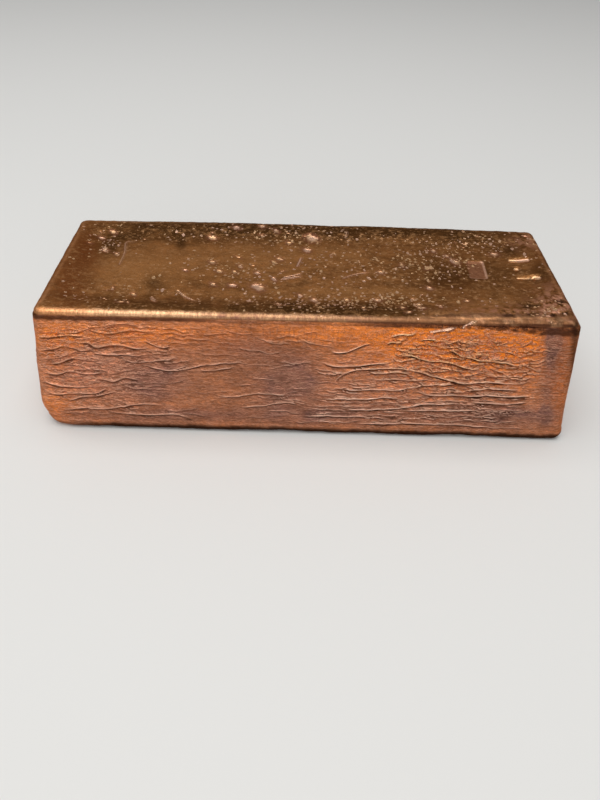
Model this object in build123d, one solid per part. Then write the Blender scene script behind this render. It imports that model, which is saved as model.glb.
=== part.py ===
from build123d import *
import os
from math import radians, tan

# Hand-poured copper ingot, one cast piece.
# A bar with drafted sides lies on its wide face. Its narrow upper face bows
# out a little along the back, is sunk into a shallow dish inside a rounded
# rim, and carries a blank rectangular punch mark near one end.
# X runs along the bar, Y across it, and Z is up from the face it lies on.

# Body, in millimetres and degrees
BASE_LENGTH = 142.9
BASE_WIDTH = 57.0
HEIGHT = 36.0
END_DRAFT = 6.75
SIDE_DRAFT = 6.75
BASE_ROUND = 3.0
BASE_CORNER = 3.5
TOP_CORNER = 2.5
BACK_BOW = 1.2

# Rim and dish of the upper face
RIM_ROUND = 2.2
RIM_CREST = 0.9
DISH_SLOPE = 7.0
DISH_DEPTH = 0.9
DISH_CORNER = 4.0
DISH_BLEND = 24.0
CREST_BLEND = 6.0

# Blank punch mark, from the end of the upper face and from the bar's centre line
PUNCH_LENGTH = 4.7
PUNCH_WIDTH = 9.0
PUNCH_DEPTH = 0.5
PUNCH_CORNER = 0.5
PUNCH_FROM_END = 21.0
PUNCH_OFF_CENTRE = 2.2
PUNCH_TURN = -3.0

# Worked out from the sizes above
TOP_LENGTH = BASE_LENGTH - 2 * HEIGHT * tan(radians(END_DRAFT))
TOP_WIDTH = BASE_WIDTH - 2 * HEIGHT * tan(radians(SIDE_DRAFT))
RIM_WIDTH = RIM_ROUND + RIM_CREST
DISH_FLOOR = HEIGHT - DISH_DEPTH
CUT_CLEARANCE = 0.1


def upper_outline():
    """The upper face's outline, a rectangle with rounded corners whose back edge bows out."""
    x, y = TOP_LENGTH / 2, TOP_WIDTH / 2
    back = ThreePointArc((-x, y), (0, y + BACK_BOW), (x, y))
    sides = Polyline((x, y), (x, -y), (-x, -y), (-x, y))
    outline = make_face([back, *sides.edges()])
    return Pos(0, 0, HEIGHT) * fillet(outline.vertices(), TOP_CORNER)


def drafted_body():
    """The bar as it leaves its mould: four leaning sides with rounded upright and lower edges."""
    base = RectangleRounded(BASE_LENGTH, BASE_WIDTH, BASE_CORNER)
    body = loft([base, upper_outline()], ruled=True)
    lower_edges = body.faces().sort_by(Axis.Z)[0].edges()
    return fillet(lower_edges, BASE_ROUND)


def upper_flat(body, rank):
    """One of the level faces of the body, counted down from the highest."""
    return body.faces().filter_by(Plane.XY).sort_by(Axis.Z)[-rank]


def dish_outline(depth):
    """The dish's outline at a depth below the rim's crest; it widens evenly from floor to mouth."""
    rise = DISH_SLOPE * (1 - depth / DISH_DEPTH)
    inset = RIM_WIDTH + DISH_SLOPE - rise
    outline = RectangleRounded(TOP_LENGTH - 2 * inset, TOP_WIDTH - 2 * inset, DISH_CORNER + rise)
    return Pos(0, 0, HEIGHT - depth) * outline


def sunk_face(body):
    """Cuts the dish into the upper face and rounds the rim that is left around it."""
    body -= loft([dish_outline(DISH_DEPTH), dish_outline(-CUT_CLEARANCE)], ruled=True)
    body = fillet(upper_flat(body, 2).edges(), DISH_BLEND)
    body = fillet(upper_flat(body, 1).inner_wires()[0].edges(), CREST_BLEND)
    return fillet(upper_flat(body, 1).outer_wire().edges(), RIM_ROUND)


def punch_mark():
    """The blank rectangular recess, sunk below the floor of the dish."""
    place = Pos(TOP_LENGTH / 2 - PUNCH_FROM_END, PUNCH_OFF_CENTRE, DISH_FLOOR - PUNCH_DEPTH)
    outline = RectangleRounded(PUNCH_LENGTH, PUNCH_WIDTH, PUNCH_CORNER)
    return place * Rot(0, 0, PUNCH_TURN) * extrude(outline, PUNCH_DEPTH + DISH_DEPTH)


ingot = sunk_face(drafted_body()) - punch_mark()

os.makedirs("parts", exist_ok=True)
export_step(ingot, "parts/ingot.step")
print("top", round(TOP_LENGTH, 1), "x", round(TOP_WIDTH, 1), "mm, volume", round(ingot.volume / 1000, 1), "cm3")
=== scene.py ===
import math

import bpy
import numpy as np
from mathutils import Matrix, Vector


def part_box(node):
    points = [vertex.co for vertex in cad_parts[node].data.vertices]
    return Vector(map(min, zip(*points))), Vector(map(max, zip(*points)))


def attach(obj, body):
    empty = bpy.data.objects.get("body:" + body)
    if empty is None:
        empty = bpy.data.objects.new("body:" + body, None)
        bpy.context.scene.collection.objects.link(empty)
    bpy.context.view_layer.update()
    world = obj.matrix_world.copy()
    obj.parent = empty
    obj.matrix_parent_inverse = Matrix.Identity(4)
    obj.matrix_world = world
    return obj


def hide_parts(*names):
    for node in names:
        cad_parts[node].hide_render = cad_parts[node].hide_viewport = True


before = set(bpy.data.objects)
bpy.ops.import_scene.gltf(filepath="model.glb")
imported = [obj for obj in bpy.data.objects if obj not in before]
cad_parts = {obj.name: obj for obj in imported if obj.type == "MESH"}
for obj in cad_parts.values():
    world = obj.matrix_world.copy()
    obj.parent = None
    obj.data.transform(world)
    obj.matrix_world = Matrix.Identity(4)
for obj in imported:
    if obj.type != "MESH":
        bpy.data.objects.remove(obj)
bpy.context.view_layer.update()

# The bar's form in millimetres, as in its solid
HEIGHT = 36.0
DRAFT = math.radians(6.75)
BASE_HALF = np.array([71.45, 28.5])
TOP_HALF = BASE_HALF - HEIGHT * math.tan(DRAFT)
BASE_CORNER = 3.5
TOP_CORNER = 2.5
BASE_ROUND = 3.0
RIM_ROUND = 2.2
RIM_CREST = 0.9
DISH_SLOPE = 7.0
DISH_DEPTH = 0.9
BACK_BOW = 1.2
PUNCH_CENTRE = (46.2, 2.2)
PUNCH_SIZE = (4.7, 9.0)
PUNCH_DEPTH = 0.5
PUNCH_TURN = math.radians(-3.0)

# How the cast differs from that form: lengths in millimetres, the share of the punch's depth that is
# left, and the slope of the rim's outer edge
LEFT_DROP = 0.7
DISH_ROUND = 9.0
PUNCH_SHARE = 0.7
RIM_FACET = math.radians(14)
FOOT_GAIN = 1.5
FOOT_TOP = 5.5
WORN_CORNER_AT = (-71, -28, 0)
WORN_CORNER_SIZE = (7, 9, 5)
WORN_CORNER_SHIFT = (2.4, 1.2, 0)
RIPPLE_HEIGHT = 0.10
FINE_RIPPLE_HEIGHT = 0.07
GRAIN_HEIGHT = 0.025
LUMP_HEIGHT = 0.2
SKIN_SUNK = 0.12
GROOVE_DEPTH = 0.12
CAVITY_DEPTH = 0.45
STROKE_DEPTH = 0.4

# A fold's crest, shoulders and crevice: share of the fold's height, and half width in millimetres
FOLD_CREST = (0.85, 0.34)
FOLD_SHOULDER = (0.2, 0.95)
FOLD_CREVICE = (0.75, 0.3)
# How far the crevice lies below the crest, the most that folds add up to, the height of a fold whose
# line is drawn in full, and the step of a random fold
CREVICE_BELOW = 0.55
FOLD_LIMIT = 0.45
FULL_FOLD = 0.26
WANDER_STEP = 1.5

# How far from a line it is told apart, and where it fades out, in the line's own widths
OFF_LIMIT = 3.0
LINE_FADE = (1.5, 2.6)

# How finely the bar is divided: cells along and across the upper face, and rows down the walls
ALONG = 340
ACROSS = 86
CROWDING = 0.25
RIM_ROWS = 6
WALL_ROWS = 110
FOOT_ROWS = 12
UNDER_STEP = 2.0
EDGE_ANGLE = math.radians(50)

# The camera: where it stands in millimetres, which way it looks in degrees, and its focal length in pixels
FRAME_SIZE = (600, 800)
FOCAL = 647.0
CAMERA_AT = np.array([-3.82, -153.6, 125.0])
PITCH, YAW, ROLL = (math.radians(v) for v in (41.91, 1.20, 2.38))

# Folds of the front face as seen through the camera: height in millimetres, then pixels along the fold
FRONT_FOLDS = [
    (0.40, [(50, 364), (61, 362), (67, 359), (76, 357)]),
    (0.32, [(74, 343), (88, 343), (95, 347), (109, 345), (120, 345), (134, 348), (149, 349)]),
    (0.26, [(90, 354), (106, 354), (127, 355), (145, 356)]),
    (0.24, [(145, 341), (159, 347), (170, 347)]),
    (0.26, [(165, 370), (181, 370), (200, 366), (216, 364), (243, 362)]),
    (0.20, [(145, 366), (165, 370), (175, 369), (188, 366)]),
    (0.18, [(200, 371), (216, 370), (234, 367)]),
    (0.34, [(43, 381), (56, 385), (74, 387), (92, 386)]),
    (0.30, [(44, 391), (56, 394), (74, 393), (95, 393), (109, 387)]),
    (0.26, [(66, 401), (82, 397), (100, 395), (118, 391)]),
    (0.26, [(60, 410), (85, 408), (110, 408), (140, 404), (165, 405)]),
    (0.34, [(120, 413), (152, 414), (177, 414), (192, 420)]),
    (0.24, [(36, 338), (52, 337), (66, 335), (84, 336)]),
    (0.18, [(88, 330), (108, 333), (130, 330), (152, 332)]),
    (0.22, [(38, 352), (52, 349), (64, 346), (80, 350), (96, 351)]),
    (0.22, [(118, 360), (138, 362), (156, 361), (176, 358)]),
    (0.24, [(42, 372), (58, 374), (70, 371), (88, 374), (104, 372)]),
    (0.20, [(96, 378), (112, 381), (126, 378), (140, 380)]),
    (0.40, [(330, 386), (341, 376), (355, 370), (370, 369), (394, 368), (411, 370), (423, 373), (443, 378),
            (458, 382), (468, 383), (484, 382), (515, 384), (535, 381)]),
    (0.38, [(333, 388), (347, 390), (372, 389), (390, 390), (407, 388), (423, 385), (441, 384), (464, 384)]),
    (0.34, [(413, 390), (431, 395), (455, 395), (484, 396), (535, 396)]),
    (0.32, [(341, 410), (362, 410), (386, 409), (407, 407), (423, 404), (443, 404), (464, 401)]),
    (0.30, [(368, 371), (376, 373), (394, 372), (410, 373)]),
    (0.28, [(304, 416), (333, 416), (370, 417)]),
    (0.28, [(402, 411), (443, 410), (480, 411)]),
    (0.26, [(322, 399), (350, 399), (372, 398), (398, 397)]),
    (0.26, [(322, 362), (333, 366), (356, 366), (372, 364), (392, 363)]),
    (0.26, [(330, 352), (346, 352), (362, 346), (372, 344)]),
    (0.26, [(392, 357), (410, 356), (428, 361), (446, 362), (470, 369), (484, 369)]),
    (0.24, [(446, 348), (462, 356), (478, 360), (498, 362), (520, 366)]),
    (0.24, [(352, 424), (390, 424), (440, 424), (500, 428)]),
    (0.24, [(466, 390), (492, 389), (520, 390)]),
    (0.24, [(372, 380), (392, 379), (412, 380), (432, 379)]),
    (0.22, [(470, 402), (500, 404), (528, 402)]),
    (0.16, [(240, 408), (260, 406), (284, 403), (300, 405)]),
    (0.16, [(212, 398), (240, 396), (262, 394), (290, 395)]),
    (0.45, [(391, 337), (397, 335), (403, 334), (409, 335), (417, 333)]),
    (0.36, [(386, 344), (392, 342), (397, 343), (403, 342)]),
    (0.55, [(432, 333), (438, 331), (446, 330), (456, 328)]),
    (0.30, [(420, 341), (428, 339), (437, 340)]),
]
# Where more small folds lie at random on the front face: how many, from and to in X and Z, turn, length,
# heights, and how wide and strong their lines are drawn
FOLD_FIELDS = [
    (100, (-70, 4), (-36, 32), 0.12, 12, (0.06, 0.22), 0.68),
    (140, (2, 4), (52, 22), 0.07, 12, (0.08, 0.26), 0.68),
    (140, (20, 17), (57, 31), 0.18, 6, (0.08, 0.24), 0.77),
    (50, (-45, 4), (8, 32), 0.10, 12, (0.06, 0.20), 0.68),
]
# How many folds lie at random on each hidden wall
HIDDEN_FOLDS = {"back": 75, "left": 24, "right": 24}

# Pits of the upper face, in clusters as seen through the camera: how thickly they lie, then middle and spread
PIT_CLUSTERS = [
    (0.60, 108, 241, 12, 8), (0.20, 165, 232, 50, 8), (0.55, 285, 234, 45, 9), (0.35, 240, 270, 45, 13),
    (0.95, 365, 299, 85, 10), (0.60, 425, 258, 50, 15), (0.50, 478, 243, 35, 8), (0.35, 100, 292, 40, 9),
    (0.55, 548, 308, 20, 10), (0.30, 540, 250, 20, 14), (0.25, 340, 262, 90, 16),
]
BIG_PITS = 90
# Larger pits that can be told apart: middle and half sizes in pixels
CLEAR_PITS = [
    (312, 236, 4.8, 2.4), (307, 247, 3.5, 2.0), (258, 284, 5.0, 2.8), (213, 281, 2.5, 1.8),
    (232, 282, 4.0, 1.4), (212, 259, 3.0, 1.4), (219, 268, 3.0, 1.4), (235, 269, 2.0, 1.7),
    (240, 263, 2.0, 1.6), (257, 270, 2.6, 1.4), (280, 256, 2.6, 1.5), (274, 259, 2.0, 1.4),
    (274, 276, 2.0, 1.8), (212, 235, 3.8, 1.3), (237, 227, 3.0, 1.4), (262, 226, 2.5, 1.3),
    (314, 297, 2.6, 1.9), (300, 292, 2.0, 1.4), (105, 247, 3.0, 1.4), (101, 235, 2.5, 1.3),
    (113, 230, 2.4, 1.3), (116, 251, 2.0, 1.4), (185, 267, 2.2, 1.3), (133, 291, 2.5, 1.4),
    (381, 269, 2.5, 1.4), (428, 265, 2.5, 1.4), (402, 262, 2.0, 1.7), (434, 248, 2.0, 1.5),
    (447, 253, 2.0, 1.4), (456, 259, 3.5, 2.2), (495, 251, 3.6, 1.4), (423, 306, 3.0, 1.4),
    (419, 302, 2.4, 1.2), (430, 285, 3.0, 1.5), (403, 306, 2.5, 1.3), (378, 297, 2.5, 1.4),
    (347, 297, 2.2, 1.4), (441, 304, 1.8, 2.0), (289, 240, 2.0, 1.5), (276, 230, 2.0, 1.4),
]
PIT_CORE = 1.05
# Scratches and dents of the upper face: depth and width in millimetres, brightness, then pixels
TOP_SCRATCHES = [
    (0.16, 0.32, 0.9, [(178, 289), (186, 295), (196, 300)]),
    (0.10, 0.30, 0.8, [(281, 278), (301, 275)]),
    (0.10, 0.30, 0.7, [(284, 276), (302, 272)]),
    (0.08, 0.28, 0.5, [(343, 277), (356, 273), (371, 271)]),
    (0.08, 0.28, 0.5, [(119, 262), (124, 251), (126, 240), (136, 240)]),
    (0.12, 0.35, 0.9, [(297, 265), (300, 259), (301, 256)]),
    (0.10, 0.32, 0.7, [(330, 254), (334, 252), (336, 255)]),
    (0.08, 0.28, 0.6, [(345, 238), (347, 233)]),
    (0.10, 0.32, 0.7, [(152, 296), (157, 301)]),
]
# Bright scrapes on the front rim and below it: width in pixels, then pixels
FRONT_SCRAPES = [
    (0.9, [(463, 328), (469, 324), (474, 320)]),
    (0.6, [(471, 325), (475, 322), (478, 319)]),
    (1.1, [(431, 332), (440, 330.5), (448, 329), (456, 328)]),
    (0.6, [(392, 336), (402, 334), (409, 334.5), (416, 333)]),
    (0.6, [(467, 342), (473, 340), (480, 340)]),
]
# Two plain strokes and two dots punched beside the blank mark: half width, then ends in X and Y
PLAIN_STROKES = [
    (0.85, (56.8, 7.6), (61.2, 7.2)),
    (0.75, (57.1, 3.0), (57.5, 3.0)),
    (0.5, (56.6, -1.6), (60.2, -1.8)),
    (0.85, (61.0, -1.8), (61.9, -2.2)),
]
# Soft spots of each finish as seen through the camera: strength, then middle and half sizes in pixels
SPOTS = {
    "creased": [(0.65, 80, 365, 75, 45), (0.65, 440, 385, 110, 40), (0.5, 485, 345, 65, 20)],
    "cavities": [
        (1.1, 511, 313, 9, 2.2), (0.8, 534, 312, 10, 3), (1.2, 557, 313.5, 7, 2.0), (0.7, 562, 300, 7, 3),
        (0.7, 530, 303, 8, 3), (0.9, 553, 321, 2, 1),
    ],
    "tint": [
        (1.5, 152, 380, 28, 18), (1.4, 290, 382, 28, 24), (0.7, 200, 415, 130, 8), (1.6, 552, 345, 6, 26),
        (1.2, 546, 400, 6, 26), (0.6, 330, 415, 60, 12), (0.5, 252, 345, 22, 12), (1.0, 490, 416, 65, 12),
        (0.9, 556, 343, 9, 10),
    ],
    "glow": [
        (1.6, 468, 340, 85, 18), (0.7, 120, 334, 90, 13), (0.5, 55, 345, 25, 30), (0.5, 55, 405, 20, 14),
        (0.5, 562, 395, 6, 36), (0.6, 450, 365, 90, 24), (0.6, 320, 333, 80, 12), (0.2, 535, 385, 25, 25),
    ],
    "dull_and_shade": [
        (1.0, 250, 366, 68, 44), (0.9, 188, 338, 34, 10), (0.9, 318, 343, 60, 10), (0.25, 200, 412, 120, 12),
        (0.5, 440, 418, 110, 12), (0.6, 548, 370, 9, 60), (1.3, 572, 360, 8, 80), (0.6, 275, 340, 50, 10),
        (0.7, 563, 342, 12, 14),
    ],
    "blush": [(0.9, 85, 370, 56, 30), (0.5, 390, 385, 85, 20), (1.0, 438, 361, 34, 12)],
    "streaked": [(1.0, 290, 335, 110, 14), (1.0, 560, 375, 18, 50)],
    "russet": [(1.0, 560, 372, 14, 60), (0.4, 225, 342, 40, 14)],
    "pocks": [
        (0.9, 404, 409, 3, 1), (0.7, 392, 419, 4, 1.2), (0.6, 503, 418, 5, 2), (0.6, 118, 414, 6, 0.8),
        (0.8, 143, 415, 6, 0.8), (0.7, 207, 365, 2, 1), (0.6, 165, 387, 3, 1), (0.8, 188, 420, 4, 0.8),
        (0.8, 575, 365, 5, 70),
    ],
    "corner_rim": [(1.0, 44, 303, 12, 12), (0.5, 130, 222, 60, 3)],
    "shade_and_smudges": [
        (0.8, 122, 231, 26, 7), (0.35, 422, 270, 40, 22), (0.35, 200, 225, 100, 5), (1.0, 153, 279, 9, 8),
        (1.0, 181, 238, 5, 8), (0.9, 110, 244, 12, 8), (0.4, 530, 298, 20, 6), (0.7, 510, 248, 16, 6),
        (0.5, 452, 272, 32, 17), (0.6, 545, 275, 14, 16), (1.0, 400, 230, 110, 6), (0.5, 500, 270, 40, 18),
        (0.8, 470, 238, 60, 7),
    ],
    "ruddy": [
        (0.9, 68, 280, 20, 40), (0.9, 88, 245, 14, 20), (0.7, 555, 285, 26, 30), (0.5, 520, 240, 30, 12),
        (0.6, 455, 275, 30, 18),
    ],
    "tan_and_sheen": [
        (1.0, 128, 268, 42, 17), (0.5, 168, 262, 36, 16), (1.0, 375, 288, 85, 4), (0.5, 270, 262, 60, 14),
        (0.5, 230, 248, 60, 8), (0.5, 330, 251, 40, 8), (0.9, 482, 307, 35, 8),
    ],
    "mottled": [(1.1, 560, 306, 22, 18), (0.7, 510, 310, 45, 8), (0.6, 530, 240, 16, 8)],
    "pitting": PIT_CLUSTERS + [(0.3, 250, 298, 55, 7)],
}
# Where a finish sets in from left to right, as seen through the camera: from and to in pixels
RAMPS = {
    "lit": (180, 330), "amber": (50, 120), "bare_and_highlit": (400, 480), "wear_and_highlight": (170, 440), "far_right": (430, 500),
    "chewed": (150, 220), "chewed_end": (340, 420), "right_rim": (405, 440), "crest_highlight": (450, 540),
    "low_lip": (500, 550), "left_lip": (60, 150), "thin_lip": (200, 400), "high_lip": (490, 545),
    "faint_lip": (190, 230), "faint_lip_end": (330, 390), "shade_and_pocks": (20, 120), "front_dark_reflection": (70, 130),
    "front_dark_reflection_full": (200, 300), "front_dark_reflection_end": (425, 475), "back_shade_band": (100, 150),
    "back_shade_band_end": (330, 420),
}
# Where the front rim is duller, and where it is most chewed: middle and half width in pixels
DULL_RIM = (238, 26)
CHEWED_RIM = (236, 16)
# The band of painted shade along the back: a place on its middle line, the line's slope, and half width in
# pixels
BACK_SHADE_BAND = (230, 230, 0.015, 9)


# What the camera sees
def camera_axes():
    """The camera's right, up and forward directions."""
    forward = np.array([math.sin(YAW) * math.cos(PITCH), math.cos(YAW) * math.cos(PITCH), -math.sin(PITCH)])
    level = np.array([math.cos(YAW), -math.sin(YAW), 0.0])
    right = math.cos(ROLL) * level + math.sin(ROLL) * np.cross(level, forward)
    return right, np.cross(right, forward), forward


RIGHT, UP, FORWARD = camera_axes()


def seen_at(points):
    """Where points of the bar appear, in pixels of the photograph's frame."""
    away = points - CAMERA_AT
    depth = away @ FORWARD
    across = FRAME_SIZE[0] / 2 + FOCAL * (away @ RIGHT) / depth
    down = FRAME_SIZE[1] / 2 - FOCAL * (away @ UP) / depth
    return across, down


def on_plane(pixels, anchor, normal):
    """Where the rays through pixels meet a plane, in millimetres."""
    pixels = np.atleast_2d(np.array(pixels, float))
    sideways = (pixels[:, :1] - FRAME_SIZE[0] / 2) / FOCAL
    upward = (FRAME_SIZE[1] / 2 - pixels[:, 1:]) / FOCAL
    rays = FORWARD + sideways * RIGHT + upward * UP
    reach = ((np.array(anchor) - CAMERA_AT) @ np.array(normal)) / (rays @ np.array(normal))
    return CAMERA_AT + rays * reach[:, None]


def on_front(pixels):
    """Points of the front face under pixels, as X and Z."""
    return on_plane(pixels, (0, -BASE_HALF[1], 0), (0, -math.cos(DRAFT), math.sin(DRAFT)))[:, [0, 2]]


def on_top(pixels):
    """Points of the upper face under pixels, as X and Y."""
    return on_plane(pixels, (0, 0, HEIGHT - 1.0), (0, 0, 1))[:, :2]


# Shaping functions
class Noise:
    """Smooth random values over space, about -1 to 1, the same on each run."""

    def __init__(self, seed):
        source = np.random.default_rng(seed)
        self.order = np.concatenate([source.permutation(256)] * 3)
        slopes = source.normal(size=(256, 3))
        self.slopes = slopes / np.linalg.norm(slopes, axis=1)[:, None]

    def __call__(self, points, period):
        spots = points / np.array(period, float)
        cell = np.floor(spots).astype(int)
        inside = spots - cell
        ease = inside ** 3 * (inside * (inside * 6 - 15) + 10)
        cell %= 256
        total = np.zeros(len(spots))
        for corner in np.ndindex(2, 2, 2):
            index = self.order[cell[:, 0] + corner[0]]
            index = self.order[index + cell[:, 1] + corner[1]]
            index = self.order[index + cell[:, 2] + corner[2]]
            pull = (self.slopes[index] * (inside - corner)).sum(1)
            total += pull * np.prod(np.where(np.array(corner) == 1, ease, 1 - ease), axis=1)
        return total * 1.6


def smooth(value, low, high):
    """0 below low, 1 above high, and an even S between them."""
    share = np.clip((value - low) / (high - low), 0, 1)
    return share * share * (3 - 2 * share)


def bell(value, width):
    """1 at zero, falling away on both sides."""
    return np.exp(-(value / width) ** 2)


def inside_by(plan, half, corner):
    """How far points in plan lie inside a rectangle with rounded corners."""
    over = np.abs(plan) - (half - corner)
    beyond = np.hypot(*np.maximum(over, 0).T)
    return corner - beyond - np.minimum(over.max(1), 0)


# The bar's surface before any relief
class Surface:
    """Points, outward normals and faces, gathered patch by patch."""

    def __init__(self):
        self.points, self.normals, self.faces, self.count = [], [], [], 0

    def add(self, points, normals):
        points = np.asarray(points, float).reshape(-1, 3)
        self.points.append(points)
        self.normals.append(np.broadcast_to(np.asarray(normals, float), points.shape))
        self.count += len(points)
        return np.arange(self.count - len(points), self.count)

    def quads(self, a, b, c, d):
        self.faces += np.stack([np.ravel(i) for i in (a, b, c, d)], 1).tolist()

    def halve(self, fine, coarse):
        """Joins a run of points to one on its right that has every other step."""
        for i in range(len(coarse) - 1):
            near, mid, far = fine[2 * i:2 * i + 3]
            self.faces.append([near, mid, coarse[i + 1], coarse[i]])
            self.faces.append([mid, far, coarse[i + 1]])

    def bridge(self, outer, inner):
        """Joins two loops around the origin, both given with their turn about it in rising order."""
        (rim, rim_turn), (core, core_turn) = outer, inner
        rim_turn = np.append(rim_turn, rim_turn[0] + 2 * math.pi)
        core_turn = np.append(core_turn, core_turn[0] + 2 * math.pi)
        a = b = 0
        while a < len(rim) or b < len(core):
            here_rim, here_core = rim[a % len(rim)], core[b % len(core)]
            if b >= len(core) or (a < len(rim) and rim_turn[a + 1] <= core_turn[b + 1]):
                a += 1
                self.faces.append([rim[a % len(rim)], here_rim, here_core])
            else:
                b += 1
                self.faces.append([here_rim, here_core, core[b % len(core)]])


def wall_profile():
    """Inset from the drafted wall, height and normal angle, from partway round the rim down to the foot."""
    tilt = math.tan(DRAFT)
    rim_back = -(RIM_ROUND + (HEIGHT - RIM_ROUND) * math.sin(DRAFT)) / math.cos(DRAFT)
    foot_back = -BASE_ROUND * (1 + math.sin(DRAFT)) / math.cos(DRAFT)
    rim_turn = np.linspace(EDGE_ANGLE, DRAFT, RIM_ROWS + 1)
    foot_turn = np.linspace(DRAFT, -math.pi / 2, FOOT_ROWS + 1)
    rim_height = HEIGHT - RIM_ROUND + RIM_ROUND * np.sin(rim_turn)
    foot_height = BASE_ROUND + BASE_ROUND * np.sin(foot_turn)
    wall_height = np.linspace(rim_height[-1], foot_height[0], WALL_ROWS + 1)[1:-1]
    rim_inset = rim_back + RIM_ROUND * np.cos(rim_turn) + rim_height * tilt
    foot_inset = foot_back + BASE_ROUND * np.cos(foot_turn) + foot_height * tilt
    inset = np.concatenate([rim_inset, 0 * wall_height, foot_inset])
    height = np.concatenate([rim_height, wall_height, foot_height])
    angle = np.concatenate([rim_turn, np.full(len(wall_height), DRAFT), foot_turn])
    return inset, height, angle


INSET, LEVEL, ANGLE = wall_profile()
EDGE_HALF = TOP_HALF + INSET[0] + (HEIGHT - LEVEL[0]) * math.tan(DRAFT)
EDGE_CORNER = TOP_CORNER + INSET[0]
ROLL_WIDTH = RIM_ROUND * math.cos(EDGE_ANGLE)


def bowed(points):
    """The bar's back swells out towards the top, and its left end is a little lower."""
    along = np.clip(1 - (points[:, 0] / BASE_HALF[0]) ** 2, 0, 1)
    back = np.clip(points[:, 1] / EDGE_HALF[1], 0, 1)
    points[:, 1] += BACK_BOW * along * back ** 2 * points[:, 2] / HEIGHT
    points[:, 2] *= 1 - LEFT_DROP / HEIGHT * 0.5 * (1 - points[:, 0] / TOP_HALF[0]).clip(0, 2)
    return points


def crowded(half, count):
    """Grid lines from -half to half that stand closer together near both ends."""
    even = np.linspace(-1, 1, count + 1)
    return half * (even + CROWDING * np.sin(math.pi * even) / math.pi)


def bare_bar():
    """The plain bar, fine in front and above and coarser elsewhere, and the grid of its upper face."""
    bar = Surface()
    xs, ys = (crowded(half, count) for half, count in zip(EDGE_HALF, (ALONG, ACROSS)))
    core_half = EDGE_HALF - EDGE_CORNER

    # The upper face is a grid drawn in round its corners, and its outermost cells roll down over the rim
    flat = np.stack(np.meshgrid(xs, ys, indexing="ij"), -1).reshape(-1, 2)
    core = np.clip(flat, -core_half, core_half)
    reach = flat - core
    length = np.maximum(np.hypot(*reach.T), 1e-9)
    plan = core + reach * np.where(length > 1e-8, np.abs(reach).max(1) / length, 1.0)[:, None]
    from_crest = np.clip(ROLL_WIDTH - inside_by(plan, EDGE_HALF, EDGE_CORNER), 0, ROLL_WIDTH)
    rolled = RIM_ROUND - np.sqrt(RIM_ROUND ** 2 - from_crest ** 2)
    height = HEIGHT - np.maximum(rolled, from_crest * math.tan(RIM_FACET))
    away = plan - np.clip(plan, -(EDGE_HALF - ROLL_WIDTH), EDGE_HALF - ROLL_WIDTH)
    away /= np.maximum(np.hypot(*away.T), 1e-9)[:, None]
    slope = from_crest / RIM_ROUND
    lean = np.column_stack([away * slope[:, None], np.sqrt(1 - slope ** 2)])
    top = bar.add(bowed(np.column_stack([plan, height])), lean).reshape(ALONG + 1, ACROSS + 1)
    bar.quads(top[:-1, :-1], top[1:, :-1], top[1:, 1:], top[:-1, 1:])

    # The walls hang from the border of that grid, counted from the front left corner along the front
    border = [(i, 0) for i in range(ALONG)] + [(ALONG, j) for j in range(ACROSS)]
    border += [(i, ACROSS) for i in range(ALONG, 0, -1)] + [(0, j) for j in range(ACROSS, 0, -1)]
    columns = []
    for i, j in border:
        if j == ACROSS and i % 2 == 1:
            columns.append(None)
            continue
        at = np.array([xs[i], ys[j]])
        middle = np.clip(at, -core_half, core_half)
        outward = (at - middle) / np.linalg.norm(at - middle)
        step = 1 if ys[j] <= -core_half[1] else 2
        level, inset, angle = LEVEL[::step], INSET[::step], ANGLE[::step]
        corner = (BASE_CORNER + (TOP_CORNER - BASE_CORNER) * level / HEIGHT)[:, None]
        half = BASE_HALF - level[:, None] * math.tan(DRAFT) - corner
        wall_plan = middle * half / core_half + (corner + inset[:, None]) * outward
        wall_normal = np.column_stack([np.cos(angle)[:, None] * outward, np.sin(angle)])
        below = bar.add(bowed(np.column_stack([wall_plan, level])[1:]), wall_normal[1:])
        columns.append((step, np.concatenate([[top[i, j]], below])))
    for place, here in enumerate(columns):
        beyond = columns[(place + 1) % len(columns)]
        if here is None:
            continue
        step, a = here
        if beyond is None:
            mid = top[border[place + 1]]
            b = columns[(place + 2) % len(columns)][1]
            bar.faces += [[a[0], a[1], b[1], mid], [mid, b[1], b[0]]]
            bar.quads(a[1:-1], a[2:], b[2:], b[1:-1])
        elif step == beyond[0]:
            b = beyond[1]
            bar.quads(a[:-1], a[1:], b[1:], b[:-1])
        elif step == 1:
            bar.halve(a, beyond[1])
        else:
            bar.halve(beyond[1][::-1], a[::-1])

    # The face that the bar lies on is a coarse grid joined to the foot
    foot = np.array([c[1][-1] for c in columns if c is not None])
    inner = BASE_HALF - BASE_ROUND - UNDER_STEP
    lines = [np.linspace(-v, v, int(round(2 * v / UNDER_STEP)) + 1) for v in inner]
    spots = np.stack(np.meshgrid(*lines, indexing="ij"), -1)
    under = bar.add(np.dstack([spots, 0 * spots[:, :, 0]]), (0, 0, -1)).reshape(spots.shape[:2])
    bar.quads(under[:-1, :-1], under[:-1, 1:], under[1:, 1:], under[1:, :-1])
    loop = np.concatenate([under[:-1, 0], under[-1, :-1], under[:0:-1, -1], under[0, :0:-1]])
    points = np.concatenate(bar.points)
    turned = []
    for ring in (foot, loop):
        turn = np.arctan2(points[ring, 1] / inner[1], points[ring, 0] / inner[0])
        order = np.argsort(turn, kind="stable")
        turned.append((ring[order], turn[order]))
    bar.bridge(*turned)
    return points, np.concatenate(bar.normals), bar.faces, top.ravel()


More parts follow.
